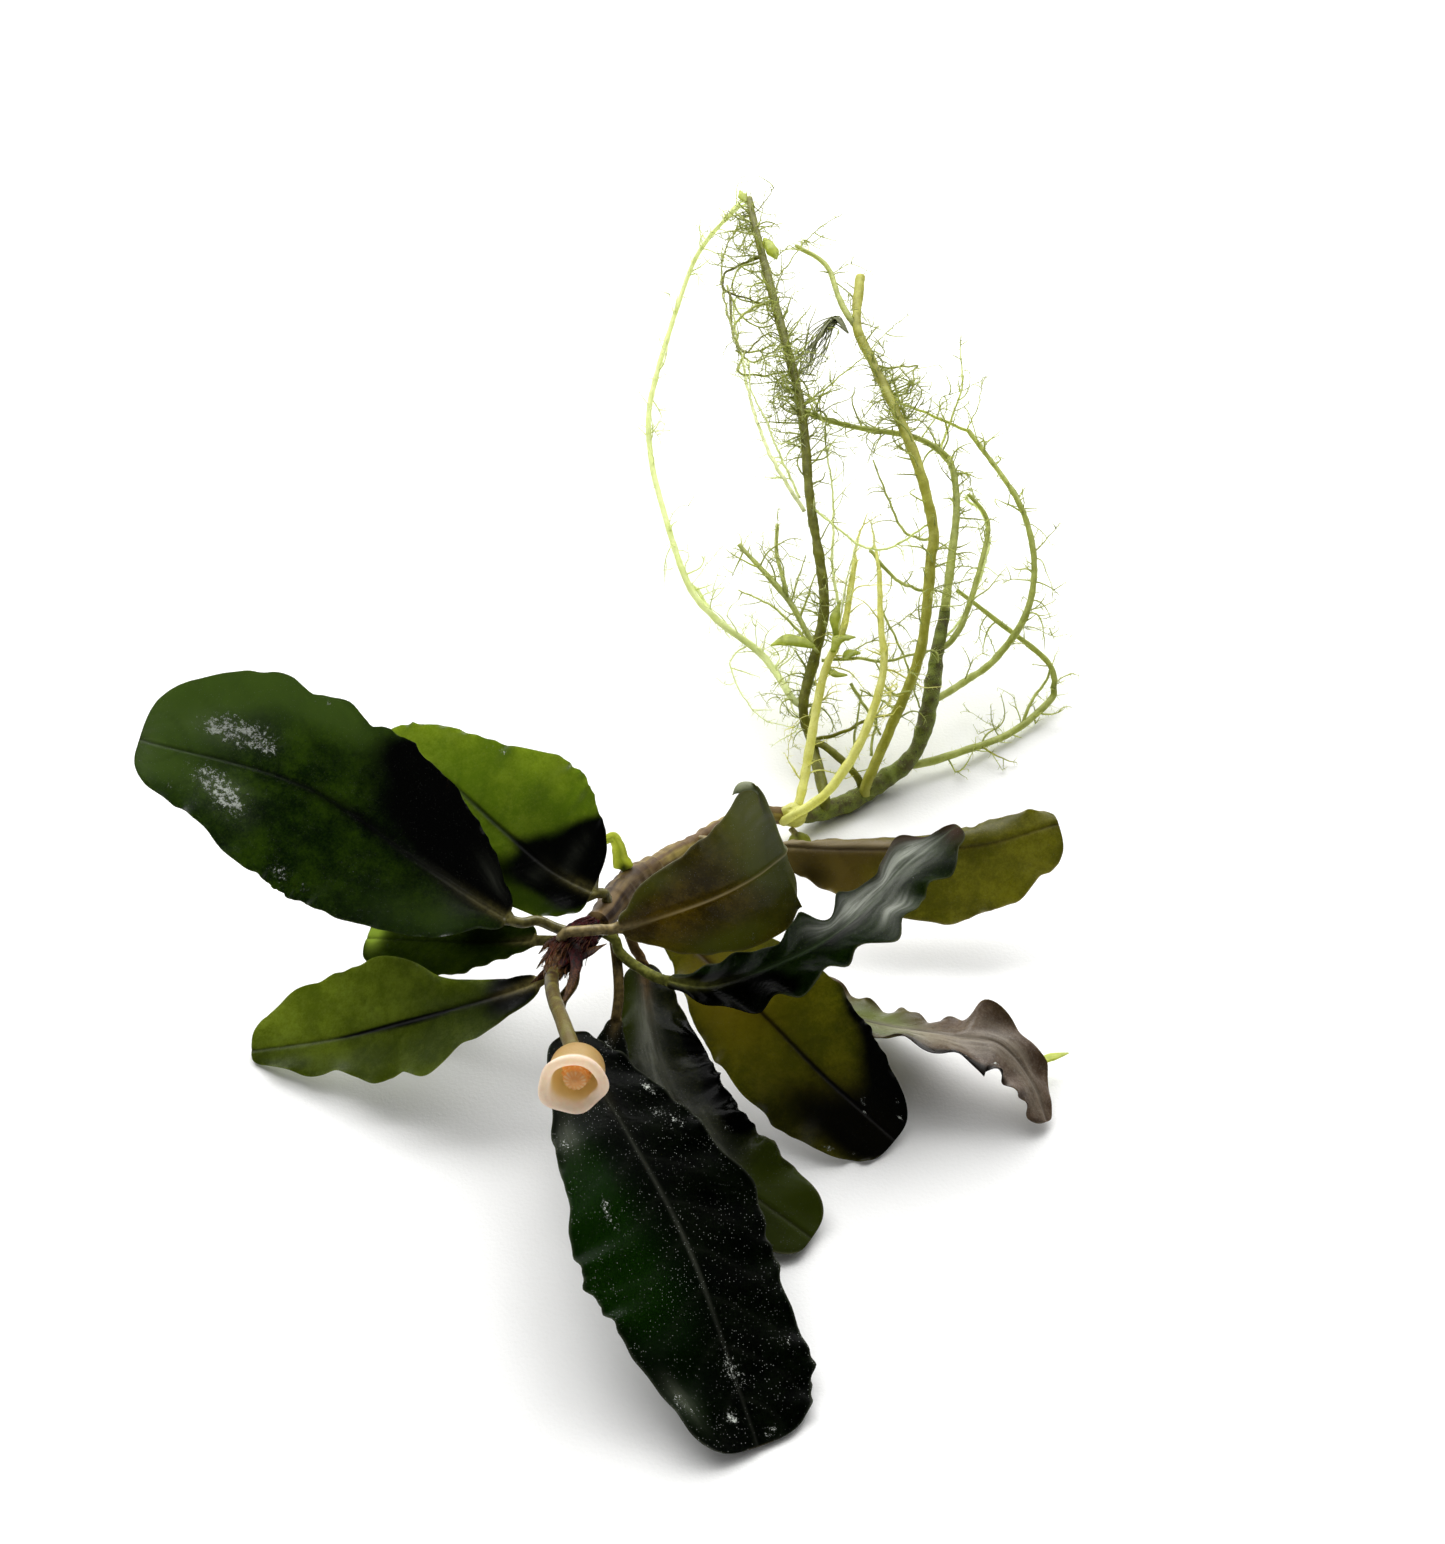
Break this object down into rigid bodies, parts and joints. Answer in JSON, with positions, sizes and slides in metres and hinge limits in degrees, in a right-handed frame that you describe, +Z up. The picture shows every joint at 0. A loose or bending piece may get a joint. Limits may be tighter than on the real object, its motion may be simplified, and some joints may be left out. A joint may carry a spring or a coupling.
{
  "type": "bare-rooted bucephalandra plant",
  "caption": "Aquarium plant with ruffled dark green leaves, a creeping rhizome, a small cup flower and long bare roots, lying on its leaf tips.",
  "frame": {"origin": "middle of the plant's box in plan, on the surface that it lies on", "axes": "+X to the right and +Y from the front leaf towards the root tips, as the picture shows them; +Z up from the surface"},
  "size_m": [0.1389, 0.2262, 0.0465],
  "materials": {
    "leaf_dark_green": "wet and glossy, dark green with fine pale speckles",
    "leaf_bright_green": "wet and glossy, bright green where light shines through",
    "leaf_light_olive": "satin, light olive, translucent",
    "leaf_underside_olive": "satin olive-brown underside with pale speckles",
    "leaf_purple": "satin, purple-brown with an olive patch",
    "leaflet_lime": "soft yellow-green, translucent",
    "rhizome_green": "rough, mossy green and brown",
    "rhizome_brown": "streaky purple-brown and tan",
    "sheath_wine": "fibrous, wet, wine red",
    "flower_stalk": "satin tan",
    "flower_cup": "soft, pale peach",
    "spadix_orange": "pebbled, orange",
    "root_yellow": "satin, pale yellow-green",
    "root_brown": "rough, dark olive-brown",
    "root_green": "satin, olive green"
  },
  "bodies": {
    "root": {"leaf_upper_left": "leaf_dark_green", "leaf_upper_left_behind": "leaf_bright_green", "leaf_left": "leaf_light_olive", "leaf_left_behind": "leaf_dark_green", "leaf_centre": "leaf_underside_olive", "leaf_right_twisted": "leaf_dark_green", "leaf_right_behind": "leaf_light_olive", "leaf_lower_right": "leaf_light_olive", "leaf_front": "leaf_dark_green", "leaf_front_right": "leaf_dark_green", "leaf_front_right_small": "leaf_dark_green", "leaf_right_purple": "leaf_purple", "crown_leaflet": "leaflet_lime", "node_bract": "leaflet_lime", "old_rhizome": "rhizome_green", "old_rhizome_branch": "rhizome_green", "young_rhizome": "rhizome_brown", "crown_sheath": "sheath_wine", "flower_stalk": "flower_stalk", "flower_cup": "flower_cup", "spadix": "spadix_orange", "root_yellow_left": "root_yellow", "root_yellow_right": "root_yellow", "root_pale": "root_yellow", "root_brown": "root_brown", "root_brown_branch": "root_brown", "root_dark": "root_brown", "root_cross": "root_brown", "root_right_loop": "root_green", "root_right_loop_end": "root_green", "root_right": "root_green", "root_top_right": "root_green", "root_arc_right": "root_green", "root_fork": "root_green", "root_fork_tip": "root_green"}
  },
  "joints": []
}
